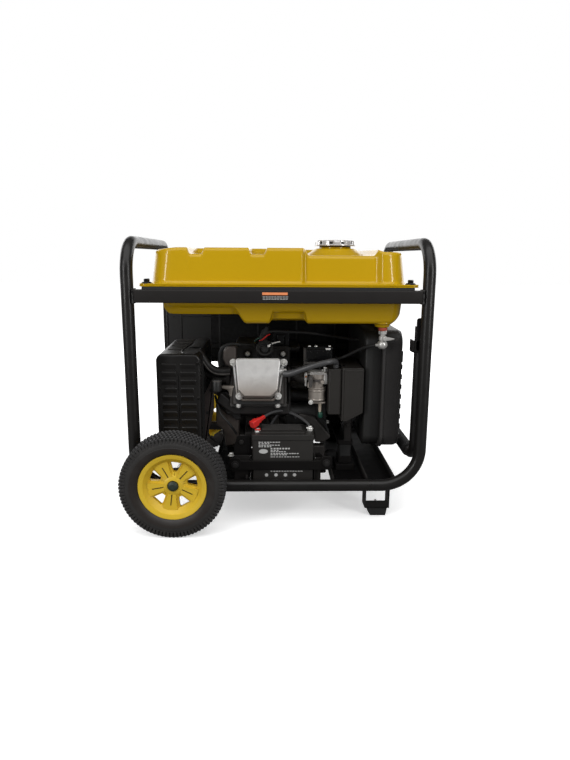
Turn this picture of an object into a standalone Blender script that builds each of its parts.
"""Portable open-frame generator on two wheels, as separate sub-parts, in metres with +Z up.

The cylinder head faces -Y (the engine side) and the control panel faces +Y (the panel side). The wheels
are at -X, the rubber feet and the folding handle at +X. Every sub-part hangs from one empty, which puts
the origin on the ground under the middle of the whole machine.
"""

import math

import bmesh
import bpy
from mathutils import Matrix, Vector

GAP = 0.0003  # clearance between meshes that touch
ENGINE_SIDE = -1
PANEL_SIDE = 1
SIDE_NAMES = {ENGINE_SIDE: "engine_side", PANEL_SIDE: "panel_side"}
FRAME_TO_ORIGIN = 0.004  # the wheels stand out further than the feet end, so the frame's middle is off origin

# Tube frame, measured on the tubes' centre lines
FRAME_HALF_LENGTH = 0.336
FRAME_HALF_WIDTH = 0.254
FRAME_TUBE_RADIUS = 0.014
BOTTOM_RAIL_Z = 0.0915
BOTTOM_BEND = 0.09
CARRY_BAR_Z = 0.657
CARRY_BEND = 0.07
TUBE_JOINT_Z = 0.585  # where each carry bar is welded onto the uprights
TUBE_SIDES = 12
BEND_STEPS = 7
RAIL_TOP_Z = BOTTOM_RAIL_Z + FRAME_TUBE_RADIUS
INNER_HALF_LENGTH = FRAME_HALF_LENGTH - FRAME_TUBE_RADIUS - GAP
INNER_HALF_WIDTH = FRAME_HALF_WIDTH - FRAME_TUBE_RADIUS - GAP

# Base channels, which run across between the bottom rails
SHEET = 0.003
CHANNEL_BOTTOM_Z = 0.080
CHANNEL_TOP_Z = RAIL_TOP_Z
CHANNEL_FLOOR_Z = CHANNEL_BOTTOM_Z + SHEET

# Wheels
WHEEL_X = -0.238
WHEEL_RADIUS = 0.120
WHEEL_HALF_WIDTH = 0.031
WHEEL_Y = 0.312
RIM_RADIUS = 0.0772
AXLE_RADIUS = 0.008
AXLE_HALF_LENGTH = 0.332
WHEEL_STEPS = 36
SPOKES = 5
FIRST_WINDOW = math.radians(82)

# Folding handle
HANDLE_X = 0.330
HANDLE_HALF_WIDTH = 0.222
HANDLE_TUBE_RADIUS = 0.0125
HANDLE_PIVOT_Z = 0.455
HANDLE_GRIP_Z = 0.150
HANDLE_BEND = 0.045

# Fuel tank
TANK_FLANGE_Z = (0.560, 0.5635, 0.567)
TANK_TOP_Z = 0.645
TANK_WALL = 0.003
FILLER_X = 0.150
FILLER_Y = 0.0

# Engine: the crank runs along X, and the cylinder leans up from it towards -Y
CRANK_Y = 0.060
CRANK_Z = 0.250
CYLINDER_TILT = math.radians(20)
COVER_X = 0.2135  # where the alternator casing starts
COVER_SPLIT_X = 0.2545
COVER_END_X = 0.303

# Battery
BATTERY_LOW = (-0.064, -0.228, 0.094)
BATTERY_HIGH = (0.087, -0.141, 0.213)

# Control panel, with (x, z) places on its face
PANEL_FACE_Y = 0.262
SWITCH_PLACE = (-0.080, 0.400)
BREAKER_PLACE = (0.010, 0.385)


def material(name, colour, roughness, metallic=0.0):
    made = bpy.data.materials.new(name)
    made.use_nodes = True
    shader = made.node_tree.nodes["Principled BSDF"]
    shader.inputs["Base Color"].default_value = (*colour, 1.0)
    shader.inputs["Roughness"].default_value = roughness
    shader.inputs["Metallic"].default_value = metallic
    made.diffuse_color = (*colour, 1.0)
    return made


def clear_scene():
    for found in list(bpy.data.objects):
        bpy.data.objects.remove(found, do_unlink=True)


clear_scene()
ROOT = bpy.data.objects.new("generator", None)
ROOT.location = (FRAME_TO_ORIGIN, 0, 0)
bpy.context.scene.collection.objects.link(ROOT)

BLACK_PAINT = material("black_satin_paint", (0.022, 0.022, 0.023), 0.38)
YELLOW_PAINT = material("yellow_gloss_paint", (0.60, 0.36, 0.01), 0.22)
YELLOW_PLASTIC = material("yellow_wheel_plastic", (0.62, 0.45, 0.03), 0.42)
TYRE_RUBBER = material("tyre_rubber", (0.05, 0.047, 0.045), 0.85)
BLACK_RUBBER = material("black_rubber", (0.02, 0.02, 0.02), 0.75)
BLACK_PLASTIC = material("black_plastic", (0.03, 0.03, 0.03), 0.5)
GREY_RUBBER = material("grey_hose_rubber", (0.12, 0.12, 0.125), 0.55)
CAST_ALLOY = material("cast_aluminium", (0.55, 0.55, 0.54), 0.45, 1.0)
DARK_ALLOY = material("dark_cast_aluminium", (0.10, 0.10, 0.10), 0.55, 0.8)
CHROME = material("chrome", (0.75, 0.75, 0.75), 0.12, 1.0)
ZINC = material("zinc_plated_steel", (0.6, 0.6, 0.58), 0.35, 1.0)
DARK_STEEL = material("heat_black_steel", (0.03, 0.028, 0.027), 0.6, 0.4)
RED_PLASTIC = material("red_plastic", (0.6, 0.03, 0.02), 0.45)
COPPER = material("copper_windings", (0.55, 0.24, 0.10), 0.4, 0.9)


def add(name, mesh, look, at=(0, 0, 0)):
    """A new object of this mesh under the root empty, smooth on its round stretches."""
    mesh.name = name
    mesh.materials.clear()
    mesh.materials.append(look)
    mesh.shade_smooth()
    mesh.set_sharp_from_angle(angle=math.radians(35))
    made = bpy.data.objects.new(name, mesh)
    made.location = at
    made.parent = ROOT
    bpy.context.scene.collection.objects.link(made)
    return made


def mesh_of(build):
    """A mesh with its faces pointing out, from a function that fills a bmesh."""
    shape = bmesh.new()
    build(shape)
    bmesh.ops.recalc_face_normals(shape, faces=shape.faces)
    mesh = bpy.data.meshes.new("shape")
    shape.to_mesh(mesh)
    shape.free()
    return mesh


def box_mesh(low, high):
    size = Vector(high) - Vector(low)
    middle = (Vector(high) + Vector(low)) / 2
    matrix = Matrix.Translation(middle) @ Matrix.Diagonal((*size, 1))
    return mesh_of(lambda shape: bmesh.ops.create_cube(shape, size=1, matrix=matrix))


def extruded_mesh(outline, thickness, to_world):
    """A closed outline of (a, b) points, extruded along c, with to_world(a, b, c) giving each place."""
    start, end = thickness

    def build(shape):
        corners = [shape.verts.new(to_world(a, b, start)) for a, b in outline]
        face = shape.faces.new(corners)
        swept = bmesh.ops.extrude_face_region(shape, geom=[face])
        moved = [item for item in swept["geom"] if isinstance(item, bmesh.types.BMVert)]
        step = Vector(to_world(0, 0, end)) - Vector(to_world(0, 0, start))
        bmesh.ops.translate(shape, vec=step, verts=moved)

    return mesh_of(build)


def along_x(y, z, x):
    return (x, y, z)


def along_y(x, z, y):
    return (x, y, z)


def turned_mesh(profile, steps, axis="Y"):
    """A closed profile of (radius, place along the axis) points, turned once round the axis."""

    def build(shape):
        corners = [shape.verts.new((radius, 0, height)) for radius, height in profile]
        shape.faces.new(corners)
        edges = list(shape.edges)
        face = list(shape.faces)
        bmesh.ops.delete(shape, geom=face, context="FACES_ONLY")
        bmesh.ops.spin(
            shape, geom=edges, axis=(0, 0, 1), cent=(0, 0, 0), angle=math.tau, steps=steps,
            use_duplicate=False,
        )
        bmesh.ops.remove_doubles(shape, verts=shape.verts, dist=1e-6)
        turn = {
            "X": Matrix.Rotation(math.radians(90), 4, "Y"),
            "Y": Matrix.Rotation(math.radians(-90), 4, "X"),
            "Z": Matrix.Identity(4),
        }[axis]
        bmesh.ops.transform(shape, matrix=turn, verts=shape.verts)

    return mesh_of(build)


def disc_profile(radius, start, end):
    """The profile of a plain solid disc or rod."""
    return [(0, start), (radius, start), (radius, end), (0, end)]


def ring_profile(inner, outer, start, end):
    return [(inner, start), (outer, start), (outer, end), (inner, end)]


def bent(points, radius, steps=BEND_STEPS, closed=False):
    """The points with an arc of this radius at each corner, in 2-D or 3-D."""
    points = [Vector(point) for point in points]
    count = len(points)
    result = []
    for i, corner in enumerate(points):
        if not closed and i in (0, count - 1):
            result.append(corner)
            continue
        to_last = (points[i - 1] - corner).normalized()
        to_next = (points[(i + 1) % count] - corner).normalized()
        half = to_last.angle(to_next) / 2
        middle = corner + (to_last + to_next).normalized() * radius / math.sin(half)
        first = corner + to_last * radius / math.tan(half) - middle
        last = corner + to_next * radius / math.tan(half) - middle
        sweep = math.pi - 2 * half
        for step in range(steps + 1):
            part = step / steps
            mixed = first * math.sin((1 - part) * sweep) + last * math.sin(part * sweep)
            result.append(middle + mixed / math.sin(sweep))
    return result


def flowing(points, steps=5):
    """A smooth curve through the points of a hose or cable (Catmull-Rom)."""
    points = [Vector(point) for point in points]
    padded = [2 * points[0] - points[1], *points, 2 * points[-1] - points[-2]]
    result = []
    for before, start, end, after in zip(padded, padded[1:], padded[2:], padded[3:]):
        for step in range(steps):
            t = step / steps
            result.append(
                (2 * start + (end - before) * t + (2 * before - 5 * start + 4 * end - after) * t**2
                 + (3 * start - before - 3 * end + after) * t**3) / 2
            )
    result.append(points[-1])
    return result


def tube_mesh(route, radius, sides, radii=None):
    """A round tube along the route, with filled ends; radii scales it point by point."""
    curve = bpy.data.curves.new("route", "CURVE")
    curve.dimensions = "3D"
    curve.bevel_depth = radius
    curve.bevel_resolution = (sides - 4) // 2
    curve.use_fill_caps = True
    spline = curve.splines.new("POLY")
    spline.points.add(len(route) - 1)
    for i, point in enumerate(route):
        spline.points[i].co = (*point, 1)
        spline.points[i].radius = radii[i] if radii else 1
    holder = bpy.data.objects.new("route", curve)
    mesh = bpy.data.meshes.new_from_object(holder)
    bpy.data.objects.remove(holder)
    shape = bmesh.new()
    shape.from_mesh(mesh)
    bmesh.ops.remove_doubles(shape, verts=shape.verts, dist=1e-6)
    bmesh.ops.recalc_face_normals(shape, faces=shape.faces)
    shape.to_mesh(mesh)
    shape.free()
    return mesh


def round_edges(part, width, segments=2, angle=40):
    bevel = part.modifiers.new("round_edges", "BEVEL")
    bevel.width = width
    bevel.segments = segments
    bevel.limit_method = "ANGLE"
    bevel.angle_limit = math.radians(angle)
    return part


def helper(name, mesh, at=(0, 0, 0)):
    """A hidden shape for a Boolean."""
    made = add(name, mesh, BLACK_PAINT, at)
    made.hide_render = True
    made.display_type = "WIRE"
    return made


def combine(part, other, operation):
    boolean = part.modifiers.new(operation.lower(), "BOOLEAN")
    boolean.object = other
    boolean.operation = operation
    boolean.solver = "EXACT"
    return part


def cut(part, name, mesh, at=(0, 0, 0)):
    return combine(part, helper(f"{name}_cutter", mesh, at), "DIFFERENCE")


def join(part, name, mesh, at=(0, 0, 0)):
    return combine(part, helper(f"{name}_addition", mesh, at), "UNION")


def lean_with_cylinder(part):
    """Turns a part modelled on an upright, level cylinder about the crank's axis."""
    part.location = (0, CRANK_Y, CRANK_Z)
    part.rotation_euler = (-CYLINDER_TILT, 0, 0)
    return part


# Frame ------------------------------------------------------------------------------------------------


def frame_tube(side):
    """One side of the frame: the bottom rail, with an upright bent up from each end."""
    y = side * FRAME_HALF_WIDTH
    top = TUBE_JOINT_Z - GAP / 2
    corners = [
        (-FRAME_HALF_LENGTH, y, top),
        (-FRAME_HALF_LENGTH, y, BOTTOM_RAIL_Z),
        (FRAME_HALF_LENGTH, y, BOTTOM_RAIL_Z),
        (FRAME_HALF_LENGTH, y, top),
    ]
    mesh = tube_mesh(bent(corners, BOTTOM_BEND), FRAME_TUBE_RADIUS, TUBE_SIDES)
    add(f"frame_tube_{SIDE_NAMES[side]}", mesh, BLACK_PAINT)


def carry_bar(name, x):
    """The bar across one end of the frame, bent down at both ends onto the uprights."""
    foot = TUBE_JOINT_Z + GAP / 2
    corners = [
        (x, -FRAME_HALF_WIDTH, foot),
        (x, -FRAME_HALF_WIDTH, CARRY_BAR_Z),
        (x, FRAME_HALF_WIDTH, CARRY_BAR_Z),
        (x, FRAME_HALF_WIDTH, foot),
    ]
    add(name, tube_mesh(bent(corners, CARRY_BEND), FRAME_TUBE_RADIUS, TUBE_SIDES), BLACK_PAINT)


def tank_rail(side):
    """The square tube between two uprights that the tank's flange is bolted to."""
    half = 0.0145
    bottom, top = 0.525, 0.554
    y = side * FRAME_HALF_WIDTH
    mesh = box_mesh((-INNER_HALF_LENGTH, y - half, bottom), (INNER_HALF_LENGTH, y + half, top))
    round_edges(add(f"tank_rail_{SIDE_NAMES[side]}", mesh, BLACK_PAINT), 0.002, 1)


def base_channel(name, left, right, ribs=()):
    """A pressed sheet channel, open upwards, with a lip along each edge and a rib at each place in ribs."""
    outline = [(left, CHANNEL_TOP_Z), (left, CHANNEL_BOTTOM_Z)]
    outline += [(right, CHANNEL_BOTTOM_Z), (right, CHANNEL_TOP_Z)]
    outline += [(right - SHEET, CHANNEL_TOP_Z), (right - SHEET, CHANNEL_FLOOR_Z)]
    for rib in ribs:
        outline += [(rib + SHEET / 2, CHANNEL_FLOOR_Z), (rib + SHEET / 2, CHANNEL_TOP_Z)]
        outline += [(rib - SHEET / 2, CHANNEL_TOP_Z), (rib - SHEET / 2, CHANNEL_FLOOR_Z)]
    outline += [(left + SHEET, CHANNEL_FLOOR_Z), (left + SHEET, CHANNEL_TOP_Z)]
    mesh = extruded_mesh(outline, (-INNER_HALF_WIDTH, INNER_HALF_WIDTH), along_y)
    add(name, mesh, BLACK_PAINT)


def foot(side):
    """A bent strap under the right-hand channel, and the rubber pad under the strap."""
    left, right = 0.2135, 0.2745
    top = CHANNEL_BOTTOM_Z - GAP
    pad_height = 0.020
    plate = pad_height + GAP
    lip_top = plate + 0.020
    outer, inner = side * 0.228, side * 0.188
    outline = [
        (left, top), (left, plate), (right, plate), (right, top),
        (right - SHEET, top), (right - SHEET, plate + SHEET),
        (left + SHEET, plate + SHEET), (left + SHEET, top),
    ]
    bracket = add(
        f"foot_bracket_{SIDE_NAMES[side]}",
        extruded_mesh(outline, (min(outer, inner), max(outer, inner)), along_y),
        BLACK_PAINT,
    )
    lip_back = side * (0.228 - SHEET)
    lip = box_mesh(
        (left + SHEET / 2, min(outer, lip_back), plate + SHEET / 2),
        (right - SHEET / 2, max(outer, lip_back), lip_top),
    )
    join(bracket, f"foot_lip_{SIDE_NAMES[side]}", lip)

    pad_left, pad_right, taper = 0.222, 0.270, 0.006
    pad_outline = [
        (pad_left, pad_height), (pad_left, pad_height * 0.6), (pad_left + taper, 0),
        (pad_right - taper / 2, 0), (pad_right, pad_height),
    ]
    pad_edges = sorted((side * 0.226, side * 0.190))
    add(f"foot_pad_{SIDE_NAMES[side]}", extruded_mesh(pad_outline, pad_edges, along_y), BLACK_RUBBER)


# Wheels -----------------------------------------------------------------------------------------------


def axle():
    """The fixed axle, welded to a saddle on each bottom rail."""
    rod = add("axle", turned_mesh(disc_profile(AXLE_RADIUS, -AXLE_HALF_LENGTH, AXLE_HALF_LENGTH), 16), ZINC)
    rod.location = (WHEEL_X, 0, WHEEL_RADIUS)
    left, right = WHEEL_X - 0.0075, WHEEL_X + 0.022
    half_width, top = 0.010, 0.134
    for side in (ENGINE_SIDE, PANEL_SIDE):
        y = side * FRAME_HALF_WIDTH
        saddle = box_mesh(
            (left, y - half_width, RAIL_TOP_Z + GAP),
            (right, y + half_width, top),
        )
        join(rod, f"axle_saddle_{SIDE_NAMES[side]}", saddle)


def tyre(side):
    """A solid rubber tyre on the rim's seat."""
    seat = RIM_RADIUS + GAP
    half_profile = [(seat, 0.023), (0.088, 0.0295), (0.099, WHEEL_HALF_WIDTH), (0.110, 0.0295),
                    (0.1165, 0.025), (WHEEL_RADIUS, 0.015)]
    profile = half_profile + [(radius, -y) for radius, y in reversed(half_profile)]
    place = (WHEEL_X, side * WHEEL_Y, WHEEL_RADIUS)
    add(f"tyre_{SIDE_NAMES[side]}", turned_mesh(profile, WHEEL_STEPS), TYRE_RUBBER, place)


def rim(side):
    """A dished plastic rim with five windows and a plain bearing bore."""
    bore = AXLE_RADIUS + 0.0006
    hub, barrel, lip = 0.020, 0.0712, 0.0725
    seat_half, face, back, hub_face, hub_back = 0.0235, 0.012, 0.006, 0.014, -0.026
    dish = 0.006
    profile = [
        (bore, hub_back), (hub, hub_back), (hub, back - dish), (barrel, back), (barrel, -seat_half),
        (RIM_RADIUS, -seat_half), (RIM_RADIUS, seat_half), (lip, seat_half), (barrel, face),
        (hub, face - dish), (hub, hub_face), (bore, hub_face),
    ]
    mesh = turned_mesh([(radius, side * y) for radius, y in profile], WHEEL_STEPS)
    part = add(f"rim_{SIDE_NAMES[side]}", mesh, YELLOW_PLASTIC, (WHEEL_X, side * WHEEL_Y, WHEEL_RADIUS))
    inner, outer, inner_half, outer_half = 0.031, 0.052, 0.006, 0.0135
    window = [(inner, -inner_half), (outer, -outer_half), (outer, outer_half), (inner, inner_half)]
    for k in range(SPOKES):
        cutter = extruded_mesh(window, (-0.02, 0.03), along_y)
        angle = FIRST_WINDOW + k * math.tau / SPOKES
        cutter.transform(Matrix.Rotation(-angle, 4, "Y"))
        cut(part, f"rim_window_{SIDE_NAMES[side]}_{k}", cutter, part.location)


# Folding handle ---------------------------------------------------------------------------------------


def handle():
    """The U-shaped pulling handle, modelled from its hinge line, hanging down, and its foam grip."""
    drop = HANDLE_GRIP_Z - HANDLE_PIVOT_Z
    stub = 0.015
    corners = [
        (0, -HANDLE_HALF_WIDTH, stub),
        (0, -HANDLE_HALF_WIDTH, drop),
        (0, HANDLE_HALF_WIDTH, drop),
        (0, HANDLE_HALF_WIDTH, stub),
    ]
    pivot = (HANDLE_X, 0, HANDLE_PIVOT_Z)
    mesh = tube_mesh(bent(corners, HANDLE_BEND), HANDLE_TUBE_RADIUS, TUBE_SIDES)
    tube = add("handle_tube", mesh, BLACK_PAINT, pivot)
    hole = turned_mesh(disc_profile(0.0056, -0.3, 0.3), 16)
    cut(tube, "handle_pivot_hole", hole, pivot)
    grip_half_length = 0.165
    sleeve = turned_mesh(ring_profile(0.0130, 0.016, -grip_half_length, grip_half_length), 16)
    sleeve.transform(Matrix.Translation((0, 0, drop)))
    add("handle_grip", sleeve, BLACK_RUBBER, pivot)


def handle_bracket(side):
    """A plate on the inside of an upright, with the handle's hinge stud and a stop flange."""
    outer, inner = side * INNER_HALF_WIDTH, side * (INNER_HALF_WIDTH - 0.0042)
    plate = box_mesh((0.3165, min(outer, inner), 0.415), (0.348, max(outer, inner), 0.491))
    part = add(f"handle_bracket_{SIDE_NAMES[side]}", plate, BLACK_PAINT)
    flange_end = side * 0.209
    flange = box_mesh((0.3045, min(outer, flange_end), 0.411), (0.3085, max(outer, flange_end), 0.439))
    join(part, f"handle_stop_{SIDE_NAMES[side]}", flange)
    web = box_mesh((0.3065, min(outer, inner), 0.411), (0.325, max(outer, inner), 0.439))
    join(part, f"handle_web_{SIDE_NAMES[side]}", web)
    stud_ends = sorted((side * 0.2055, side * 0.238))
    stud = turned_mesh(disc_profile(0.005, *stud_ends), 12)
    join(part, f"handle_stud_{SIDE_NAMES[side]}", stud, (HANDLE_X, 0, HANDLE_PIVOT_Z))


# Fuel tank --------------------------------------------------------------------------------------------


def tapered_block_mesh(base_half, top_half, bottom, top):
    """A four-sided block whose base and top have these half sizes."""

    def build(shape):
        matrix = Matrix.Translation((0, 0, (bottom + top) / 2)) @ Matrix.Diagonal((2, 2, top - bottom, 1))
        bmesh.ops.create_cube(shape, size=1, matrix=matrix)
        for vert in shape.verts:
            half = top_half if vert.co.z > (bottom + top) / 2 else base_half
            vert.co.x *= half[0]
            vert.co.y *= half[1]
        uprights = [edge for edge in shape.edges if abs(edge.verts[0].co.z - edge.verts[1].co.z) > 0.01]
        bmesh.ops.bevel(shape, geom=uprights, offset=0.045, segments=4, profile=0.5, affect="EDGES")

    return mesh_of(build)


def tank_upper():
    """The upper pressed shell with its flange, the filler hole and the steps in its engine-side face."""
    _, seam, flange_top = TANK_FLANGE_Z
    outer = tapered_block_mesh((0.281, 0.240), (0.272, 0.225), seam + GAP / 2, TANK_TOP_Z)
    shell = add("tank_upper", outer, YELLOW_PAINT)
    round_edges(shell, 0.009, 2, angle=60)
    flange = box_mesh((-0.310, -0.262, seam + GAP / 2), (0.310, 0.262, flange_top))
    join(shell, "tank_flange", flange)
    inner = tapered_block_mesh(
        (0.281 - TANK_WALL, 0.240 - TANK_WALL), (0.272 - TANK_WALL, 0.225 - TANK_WALL),
        0.55, TANK_TOP_Z - TANK_WALL,
    )
    cut(shell, "tank_inside", inner)
    hole = turned_mesh(disc_profile(0.0418, 0.6, 0.7), 24, "Z")
    cut(shell, "filler_hole", hole, (FILLER_X, FILLER_Y, 0))


def tank_lower():
    """The lower pressed shell: shallow over the head, deeper towards the petcock, with a notch in front."""
    bottom, seam, _ = TANK_FLANGE_Z
    half_depth = 0.222
    top = seam - GAP / 2
    shallow, deep = 0.497, 0.477
    outline = [
        (-0.262, top), (-0.259, 0.512), (-0.246, shallow), (-0.091, shallow), (-0.075, deep), (0.262, deep),
        (0.274, 0.490), (0.279, top),
    ]
    shell = add("tank_lower", extruded_mesh(outline, (-half_depth, half_depth), along_y), YELLOW_PAINT)
    notch_left, notch_right, notch_top, notch_back = -0.020, 0.067, 0.502, -0.201
    notch = box_mesh((notch_left, -0.25, 0.4), (notch_right, notch_back, notch_top))
    cut(shell, "tank_notch", notch)
    flange = box_mesh((-0.310, -0.262, bottom), (0.310, 0.262, top))
    join(shell, "tank_lower_flange", flange)
    wall = TANK_WALL
    inside = [
        (-0.262 + wall, 0.6), (-0.259 + wall, 0.512), (-0.246 + wall, shallow + wall),
        (-0.091 + wall, shallow + wall), (-0.075 + wall, deep + wall), (0.262 - wall, deep + wall),
        (0.274 - wall, 0.490), (0.279 - wall, 0.6),
    ]
    hollow = extruded_mesh(inside, (notch_back + wall, half_depth - wall), along_y)
    cut(shell, "tank_lower_inside", hollow)
    boss = turned_mesh(disc_profile(0.017, 0.464, deep + wall / 2), 20, "Z")
    join(shell, "petcock_boss", boss, (0.248, -0.192, 0))


def filler():
    """The neck, the gasket on its rim and the cap that clamps it, each on the filler's axis."""
    neck_top = 0.652
    gasket_top = neck_top + GAP + 0.0015
    place = (FILLER_X, FILLER_Y, 0)
    neck = ring_profile(0.035, 0.0415, 0.628, neck_top)
    add("filler_neck", turned_mesh(neck, 24, "Z"), YELLOW_PAINT, place)
    gasket = ring_profile(0.0300, 0.0410, neck_top + GAP, gasket_top)
    add("cap_gasket", turned_mesh(gasket, 24, "Z"), BLACK_RUBBER, place)
    cap_bottom, cap_top, plug_bottom = gasket_top + GAP, 0.669, neck_top + 2 * GAP
    cap = [(0, plug_bottom), (0.0294, plug_bottom), (0.0294, cap_bottom), (0.050, cap_bottom),
           (0.050, cap_top - 0.003), (0.047, cap_top), (0, cap_top)]
    add("fuel_cap", turned_mesh(cap, 30, "Z"), CHROME, place)


def petcock():
    """The fuel tap under the tank's sump, its lever, and the hose from it to the carburettor."""
    x, y = 0.248, -0.192
    profile = [(0, 0.412), (0.010, 0.414), (0.010, 0.428), (0.006, 0.431), (0.006, 0.446), (0.010, 0.447),
               (0.010, 0.4637), (0, 0.4637)]
    add("petcock_body", turned_mesh(profile, 16, "Z"), CAST_ALLOY, (x, y, 0))
    pivot = (x + 0.004, y - 0.0105, 0.4385)
    outline = [(-0.005, -0.004), (0.006, -0.004), (0.026, -0.003)]
    outline += [(0.026, 0.002), (0.006, 0.005), (-0.005, 0.005)]
    lever = extruded_mesh(outline, (-0.0035, 0), along_y)
    add("petcock_lever", lever, CAST_ALLOY, pivot)
    route = [(0.2365, -0.190, 0.421), (0.222, -0.180, 0.4175), (0.200, -0.155, 0.405), (0.165, -0.120, 0.380),
             (0.130, -0.112, 0.369), (0.108, -0.127, 0.3640), (0.106, -0.130, 0.3570),
             (0.106, -0.130, 0.3500)]
    add("fuel_hose", tube_mesh(flowing(route), 0.0038, 8), BLACK_RUBBER)


# Engine -----------------------------------------------------------------------------------------------


def crankcase():
    """The block: a cast case with a deck square to the cylinder, a bearing neck and a rear foot."""
    left, right, neck_end = -0.135, 0.095, COVER_X - GAP
    bottom = 0.130
    outline = [
        (-0.085, bottom), (-0.085, 0.165), (-0.040, 0.180), (-0.0354, 0.2187), (0.0070, 0.3353),
        (0.060, 0.345), (0.120, 0.330), (0.145, 0.285), (0.145, bottom),
    ]
    case = add("crankcase", extruded_mesh(outline, (left, right), along_x), DARK_ALLOY)
    neck = turned_mesh(disc_profile(0.055, right - 0.01, neck_end), 24, "X")
    join(case, "crankcase_neck", neck, (0, CRANK_Y, CRANK_Z))
    join(case, "crankcase_foot", box_mesh((0.155, -0.125, 0.150), (0.195, 0.185, 0.162)))
    join(case, "crankcase_web", box_mesh((0.165, 0.030, 0.156), (0.185, 0.090, 0.215)))
    bore = turned_mesh(disc_profile(0.0158, 0.110, 0.3), 16, "X")
    cut(case, "crank_bore", bore, (0, CRANK_Y, CRANK_Z))


def engine_mounts():
    """Four rubber blocks between the base channels and the engine's feet."""
    left_blocks = ((-0.135, -0.103), (-0.083, -0.043), (0.095, 0.135))
    right_blocks = ((0.158, 0.192), (-0.122, -0.080), (0.140, 0.182))
    for name, (xs, front, rear), top in (
        ("left", left_blocks, 0.130 - GAP),
        ("right", right_blocks, 0.150 - GAP),
    ):
        for side, ys in ((ENGINE_SIDE, front), (PANEL_SIDE, rear)):
            mesh = box_mesh((xs[0], ys[0], CHANNEL_FLOOR_Z + GAP), (xs[1], ys[1], top))
            add(f"engine_mount_{name}_{SIDE_NAMES[side]}", mesh, BLACK_RUBBER)


def cylinder():
    """The barrel and head, the sheet shroud round them and the valve cover, all leaning with the cylinder."""
    deck, head_start, head_end = -0.0795, -0.140, -0.1995
    head = add("cylinder_head", box_mesh((-0.122, head_end, -0.062), (0.024, head_start, 0.062)), DARK_ALLOY)
    barrel = box_mesh((-0.105, head_start - 0.005, -0.050), (0.007, deck, 0.050))
    combine(head, lean_with_cylinder(helper("barrel_addition", barrel)), "UNION")
    lean_with_cylinder(head)

    shroud_outline = [(-0.128, -0.080), (0.034, -0.080), (0.034, 0.092), (0.026, 0.100), (-0.142, 0.100),
                      (-0.150, 0.092), (-0.150, -0.058)]
    shroud = add("cylinder_shroud", extruded_mesh(shroud_outline, (-0.165, -0.095), along_y), BLACK_PAINT)
    window = box_mesh((-0.1235, -0.2, -0.0635), (0.0255, -0.05, 0.0635))
    combine(shroud, lean_with_cylinder(helper("shroud_window_cutter", window)), "DIFFERENCE")
    lean_with_cylinder(shroud)

    cover_corners = [(-0.100, -0.050), (0.000, -0.050), (0.017, 0.055), (-0.115, 0.055)]
    cover_outline = bent(cover_corners, 0.012, 3, closed=True)
    cover = add("valve_cover", extruded_mesh(cover_outline, (-0.245, head_end - GAP), along_y), CAST_ALLOY)
    lean_with_cylinder(round_edges(cover, 0.006, 2, angle=60))


def spark_lead():
    """The plug's rubber boot and the ignition lead, held at the alternator casing."""
    route = flowing([(-0.040, -0.0500, 0.4120), (-0.036, -0.058, 0.424), (-0.018, -0.068, 0.437),
                     (0.030, -0.070, 0.437), (0.090, -0.060, 0.432), (0.150, -0.050, 0.422),
                     (0.200, -0.045, 0.414), (0.2130, -0.045, 0.414)])
    boot_points = 6
    radii = [1.0 if i < boot_points else 0.3 for i in range(len(route))]
    add("spark_lead", tube_mesh(route, 0.011, 10, radii), BLACK_RUBBER)


def exhaust():
    """The pipe from the head's left face into the muffler, the muffler, and the guard round it."""
    flange_x = -0.122 - 2 * GAP
    muffler_right = -0.2005
    port = (flange_x, -0.1086, 0.322)
    route = flowing([port, (-0.150, -0.108, 0.322), (-0.172, -0.102, 0.331), (-0.188, -0.100, 0.334),
                     (muffler_right + 2 * GAP, -0.100, 0.334)])
    add("exhaust_pipe", tube_mesh(route, 0.013, 12), DARK_STEEL)

    muffler = box_mesh((-0.282, -0.170, 0.185), (muffler_right, 0.050, 0.385))
    round_edges(add("muffler", muffler, DARK_STEEL), 0.028, 3)

    left, right, bottom, top = -0.293, -0.186, 0.160, 0.398
    front, back, corner = -0.190, 0.070, 0.017
    outline = bent([(left, bottom - corner), (left, top), (right, top), (right, bottom - corner)], corner, 4)
    outline[0].y = bottom
    outline[-1].y = bottom
    guard = add("muffler_guard", extruded_mesh(outline, (front, back), along_y), BLACK_PAINT)
    wall = 0.0025
    inside = bent(
        [(left + wall, 0.1), (left + wall, top - wall), (right - wall, top - wall), (right - wall, 0.1)],
        corner - wall,
        4,
    )
    cut(guard, "guard_inside", extruded_mesh(inside, (front + wall, back + 0.1), along_y))
    pipe_hole = turned_mesh(disc_profile(0.018, -0.195, -0.15), 16, "X")
    cut(guard, "guard_pipe_hole", pipe_hole, (0, -0.1025, 0.3325))


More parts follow.
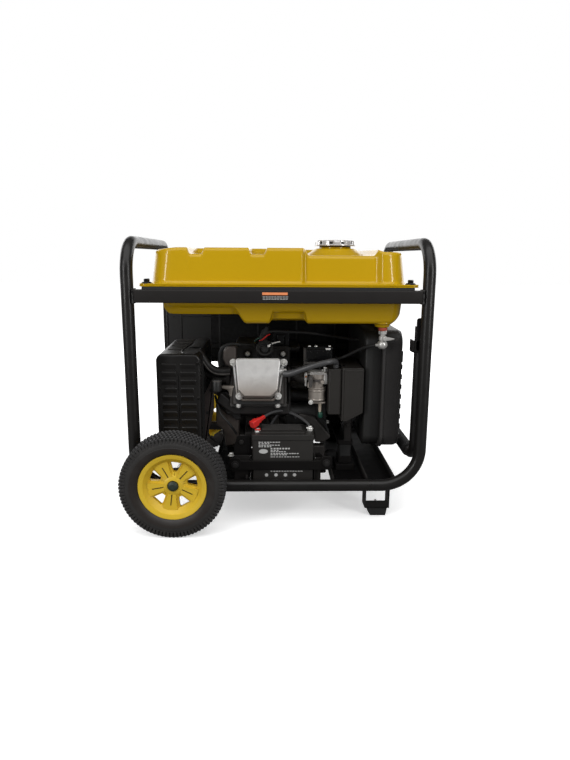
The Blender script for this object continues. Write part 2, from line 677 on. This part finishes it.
def intake():
    """The carburettor with its stub and float bowl, its throttle lever, and the two-part air cleaner."""
    x, y = 0.098, -0.140
    body = add("carburettor", box_mesh((0.073, -0.163, 0.300), (0.123, -0.117, 0.3492)), CAST_ALLOY)
    round_edges(body, 0.005, 1)
    bowl = [(0, 0.271), (0.019, 0.271), (0.022, 0.275), (0.022, 0.298), (0.019, 0.305), (0, 0.305)]
    join(body, "float_bowl", turned_mesh(bowl, 20, "Z"), (x, y, 0))
    stub = flowing([(0.0255, -0.1037, 0.331), (0.040, -0.1040, 0.331), (0.060, -0.122, 0.328),
                    (0.078, -0.136, 0.326)])
    join(body, "intake_stub", tube_mesh(stub, 0.0140, 12))

    lever = [(-0.006, 0.005), (0.006, 0.005), (0.005, -0.024), (-0.005, -0.024)]
    add("throttle_lever", extruded_mesh(lever, (-0.0025, 0), along_y), ZINC, (0.080, -0.163 - 0.0006, 0.334))

    base = box_mesh((0.1233, -0.168, 0.232), (0.158, 0.000, 0.358))
    round_edges(add("air_cleaner_base", base, BLACK_PLASTIC), 0.004, 1)
    left, right, bottom, top = 0.158 + GAP, 0.210, 0.227, 0.361
    chamfer_x, chamfer_z = 0.170, 0.248
    outline = [(left, bottom), (chamfer_x, bottom), (right, chamfer_z), (right, top), (left, top)]
    cover = add("air_cleaner_cover", extruded_mesh(outline, (-0.172, 0.003), along_y), BLACK_PLASTIC)
    round_edges(cover, 0.004, 2)

    route = [(0.0125, -0.156, 0.344), (0.030, -0.162, 0.346), (0.056, -0.171, 0.357), (0.090, -0.180, 0.370),
             (0.118, -0.181, 0.3775), (0.136, -0.169, 0.3780), (0.143, -0.152, 0.3710),
             (0.143, -0.150, 0.3645), (0.143, -0.150, 0.3586)]
    add("breather_hose", tube_mesh(flowing(route, 4), 0.007, 10), GREY_RUBBER)


# Alternator and starter -------------------------------------------------------------------------------


def casing_outline(front, back, bottom, top, corner):
    return bent([(front, bottom), (back, bottom), (back, top), (front, top)], corner, 5, closed=True)


def alternator_casing():
    """The two moulded halves round the alternator: the back half on the engine, the fan half outside it."""
    wall = 0.003
    front, back, bottom, top, corner = -0.150, 0.172, 0.172, 0.448, 0.030
    outline = casing_outline(front, back, bottom, top, corner)
    half = add("alternator_casing", extruded_mesh(outline, (COVER_X, COVER_SPLIT_X), along_x), BLACK_PLASTIC)
    inside = casing_outline(front + wall, back - wall, bottom + wall, top - wall, corner - wall)
    cut(half, "casing_inside", extruded_mesh(inside, (COVER_X + wall, 0.4), along_x))
    boss_hole = turned_mesh(disc_profile(0.0365, 0.1, 0.4), 24, "X")
    cut(half, "casing_boss_hole", boss_hole, (0, CRANK_Y, CRANK_Z))

    front, back, bottom, top = -0.180, 0.175, 0.168, 0.453
    start = COVER_SPLIT_X + GAP
    outline = casing_outline(front, back, bottom, top, corner)
    fan = add("fan_casing", extruded_mesh(outline, (start, COVER_END_X), along_x), BLACK_PLASTIC)
    round_edges(fan, 0.010, 2, angle=60)
    inside = casing_outline(front + wall, back - wall, bottom + wall, top - wall, corner - wall)
    cut(fan, "fan_casing_inside", extruded_mesh(inside, (0.2, COVER_END_X - wall), along_x))
    recoil_hole = turned_mesh(disc_profile(0.060, 0.2, 0.4), 32, "X")
    cut(fan, "recoil_hole", recoil_hole, (0, CRANK_Y, CRANK_Z))


def alternator():
    """The fixed windings on their boss, and the magnet rotor, which turns round them on the crankshaft."""
    axis = (0, CRANK_Y, CRANK_Z)
    shaft = 0.015
    stator = [(0.0162, COVER_X), (0.035, COVER_X), (0.035, 0.224)]
    stator += [(0.052, 0.224), (0.052, 0.250), (0.0162, 0.250)]
    add("stator", turned_mesh(stator, 24, "X"), COPPER, axis)
    rotor = [(0, 0.112), (shaft, 0.112), (shaft, 0.254), (0.056, 0.254), (0.056, 0.222), (0.070, 0.222),
             (0.070, 0.262), (0.030, 0.262), (0.026, 0.266), (0, 0.266)]
    add("rotor", turned_mesh(rotor, 24, "X"), DARK_STEEL, axis)


def recoil_starter():
    """The round recoil housing on the fan casing, and the pull grip with the start of its rope."""
    start, end = COVER_END_X + GAP, 0.3125
    rope_y, rope_z = CRANK_Y, CRANK_Z + 0.045
    profile = [(0, start), (0.074, start), (0.074, end - 0.003), (0.070, end), (0, end)]
    housing = add("recoil_housing", turned_mesh(profile, 32, "X"), BLACK_PLASTIC, (0, CRANK_Y, CRANK_Z))
    cut(housing, "rope_hole", turned_mesh(disc_profile(0.0055, 0.2, 0.4), 12, "X"), (0, rope_y, rope_z))
    half_width, half_height = 0.042, 0.010
    grip = box_mesh((end + GAP, -half_width, -half_height), (end + 0.022, half_width, half_height))
    part = add("recoil_grip", grip, BLACK_PLASTIC, (0, rope_y, rope_z))
    round_edges(part, 0.005, 2)
    rope = turned_mesh(disc_profile(0.003, 0.268, end + 0.004), 8, "X")
    join(part, "rope", rope, (0, rope_y, rope_z))


# Battery ----------------------------------------------------------------------------------------------


def battery():
    """The starter battery in its tray, held back by a strap, and its two cables."""
    round_edges(add("battery", box_mesh(BATTERY_LOW, BATTERY_HIGH), BLACK_PLASTIC), 0.003, 2)
    low, high = Vector(BATTERY_LOW), Vector(BATTERY_HIGH)
    floor = low.z - GAP
    wall_top = 0.148
    outline = [
        (low.x - GAP - SHEET, wall_top), (low.x - GAP - SHEET, floor - SHEET),
        (high.x + GAP + SHEET, floor - SHEET), (high.x + GAP + SHEET, wall_top),
        (high.x + GAP, wall_top), (high.x + GAP, floor), (low.x - GAP, floor), (low.x - GAP, wall_top),
    ]
    tray = add("battery_tray", extruded_mesh(outline, (low.y, high.y), along_y), BLACK_PAINT)
    strap_left, strap_right, strap_bottom, strap_top = -0.118, 0.130, 0.122, 0.145
    ear_back = low.y + SHEET
    left_ear = box_mesh((strap_left, low.y, strap_bottom), (low.x - GAP - SHEET / 2, ear_back, strap_top))
    right_ear = box_mesh((high.x + GAP + SHEET / 2, low.y, strap_bottom), (strap_right, ear_back, strap_top))
    join(tray, "tray_left_ear", left_ear)
    join(tray, "tray_right_ear", right_ear)
    shelf = box_mesh((low.x - GAP, -INNER_HALF_WIDTH, floor - SHEET), (high.x + GAP, low.y + SHEET, floor))
    join(tray, "tray_front_edge", shelf)

    strap_back = low.y - GAP
    strap = box_mesh((strap_left, strap_back - SHEET, strap_bottom), (strap_right, strap_back, strap_top))
    round_edges(add("battery_strap", strap, BLACK_PAINT), 0.001, 1)


def battery_cables():
    top = BATTERY_HIGH[2] + 0.0018  # clear of the battery, though the boot leans
    red = [(-0.046, -0.202, top), (-0.046, -0.202, 0.222), (-0.036, -0.192, 0.237), (-0.010, -0.172, 0.245),
           (0.020, -0.148, 0.243), (0.045, -0.118, 0.222), (0.048, -0.080, 0.198), (0.048, -0.043, 0.190)]
    route = flowing(red, 4)
    boot_points = 10
    radii = [2.1 if i < boot_points else 1.0 for i in range(len(route))]
    add("battery_cable_red", tube_mesh(route, 0.0036, 8, radii), RED_PLASTIC)
    black = [(0.076, -0.198, top), (0.076, -0.198, 0.222), (0.060, -0.168, 0.229), (0.034, -0.152, 0.227),
             (0.000, -0.137, 0.221), (-0.030, -0.118, 0.200), (-0.050, -0.102, 0.160),
             (-0.050, -0.0870, 0.152)]
    add("battery_cable_black", tube_mesh(flowing(black, 4), 0.0036, 8), BLACK_RUBBER)


# Control panel ----------------------------------------------------------------------------------------


def control_panel():
    """The panel box between the far uprights, thinner beside the tank, with a switch and a breaker in it."""
    bottom, shoulder, top, right = 0.314, 0.470, 0.525 - GAP, 0.300
    outline = [(0.180, bottom), (PANEL_FACE_Y, bottom), (PANEL_FACE_Y, top), (0.2255, top),
               (0.2255, shoulder), (0.180, shoulder)]
    box = add(
        "control_panel", extruded_mesh(outline, (-INNER_HALF_LENGTH, right), along_x), BLACK_PLASTIC
    )
    switch_x, switch_z = SWITCH_PLACE
    pocket_half, pocket_half_height, pocket_depth = 0.0115, 0.0165, 0.012
    pocket = box_mesh(
        (switch_x - pocket_half, PANEL_FACE_Y - pocket_depth, switch_z - pocket_half_height),
        (switch_x + pocket_half, PANEL_FACE_Y + 0.01, switch_z + pocket_half_height),
    )
    cut(box, "switch_pocket", pocket)
    breaker_x, breaker_z = BREAKER_PLACE
    hole = turned_mesh(disc_profile(0.0066, PANEL_FACE_Y - 0.016, PANEL_FACE_Y + 0.01), 16)
    cut(box, "breaker_hole", hole, (breaker_x, 0, breaker_z))

    rocker_half, rocker_half_height, proud = 0.011, 0.0145, 0.004
    rocker = [(-0.004, -rocker_half_height), (proud, -rocker_half_height), (proud - 0.0015, 0),
              (proud + 0.001, rocker_half_height), (-0.004, rocker_half_height)]
    mesh = extruded_mesh(rocker, (-rocker_half, rocker_half), along_x)
    add("start_switch", mesh, RED_PLASTIC, (switch_x, PANEL_FACE_Y - 0.001, switch_z))

    button = turned_mesh([(0, -0.010), (0.006, -0.010), (0.006, 0.006), (0.005, 0.008), (0, 0.008)], 16)
    add("breaker_button", button, BLACK_PLASTIC, (breaker_x, PANEL_FACE_Y, breaker_z))


def build():
    for side in (ENGINE_SIDE, PANEL_SIDE):
        frame_tube(side)
        tank_rail(side)
        foot(side)
        tyre(side)
        rim(side)
        handle_bracket(side)
    carry_bar("carry_bar_left", -FRAME_HALF_LENGTH)
    carry_bar("carry_bar_right", FRAME_HALF_LENGTH)
    base_channel("base_channel_left", -0.160, -0.075)
    base_channel("base_channel_right", 0.132, 0.283, ribs=(0.214,))
    axle()
    handle()
    tank_upper()
    tank_lower()
    filler()
    petcock()
    crankcase()
    engine_mounts()
    cylinder()
    spark_lead()
    exhaust()
    intake()
    alternator_casing()
    alternator()
    recoil_starter()
    battery()
    battery_cables()
    control_panel()


build()
